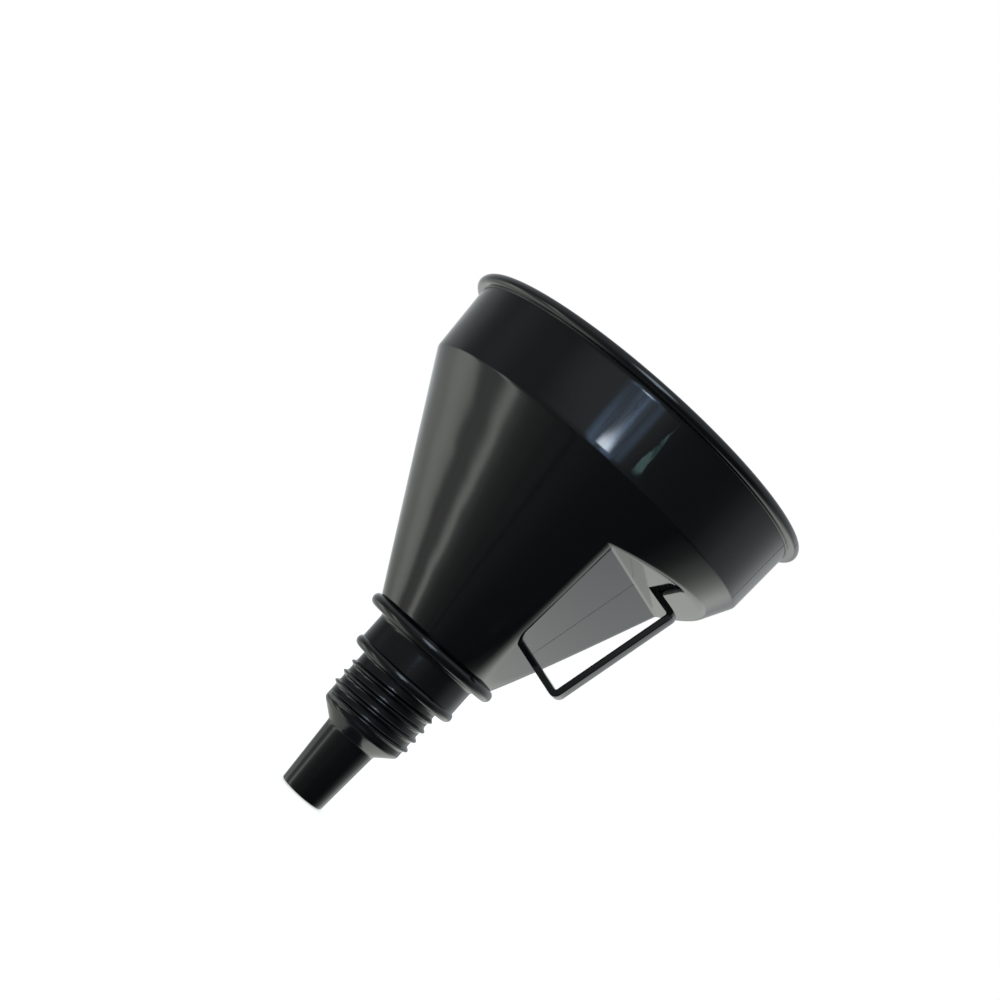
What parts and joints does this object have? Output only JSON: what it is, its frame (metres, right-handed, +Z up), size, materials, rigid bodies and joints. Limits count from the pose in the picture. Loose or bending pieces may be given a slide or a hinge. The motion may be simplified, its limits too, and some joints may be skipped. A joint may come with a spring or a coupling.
{
  "type": "funnel",
  "caption": "Wide fuel funnel with beaded lip, upright collar, hand recess with strip handle, threaded neck, tapered nozzle and lift-out gauze strainer.",
  "frame": {"origin": "centre of the nozzle tip's end, on the funnel's axis, which is the bottom centre of the box", "axes": "+Z up the funnel's axis from the nozzle to the mouth, +X from the axis towards the handle"},
  "size_m": [0.1606, 0.1606, 0.1918],
  "materials": {
    "funnel_plastic": "glossy moulded polyethylene",
    "seal_rubber": "matt nitrile rubber",
    "strainer_plastic": "satin moulded plastic",
    "gauze_brass": "woven wire"
  },
  "bodies": {
    "funnel": {"bowl": "funnel_plastic", "carrying_handle": "funnel_plastic", "spout": "funnel_plastic", "spout_seal": "seal_rubber"},
    "strainer": {"strainer_frame": "strainer_plastic", "strainer_gauze": "gauze_brass", "strainer_clamp_ring": "strainer_plastic"}
  },
  "joints": [
    {"name": "strainer_lift", "type": "slide", "parent": "funnel", "child": "strainer", "axis": [0, 0, 1], "range_m": [0, 0.13]}
  ]
}
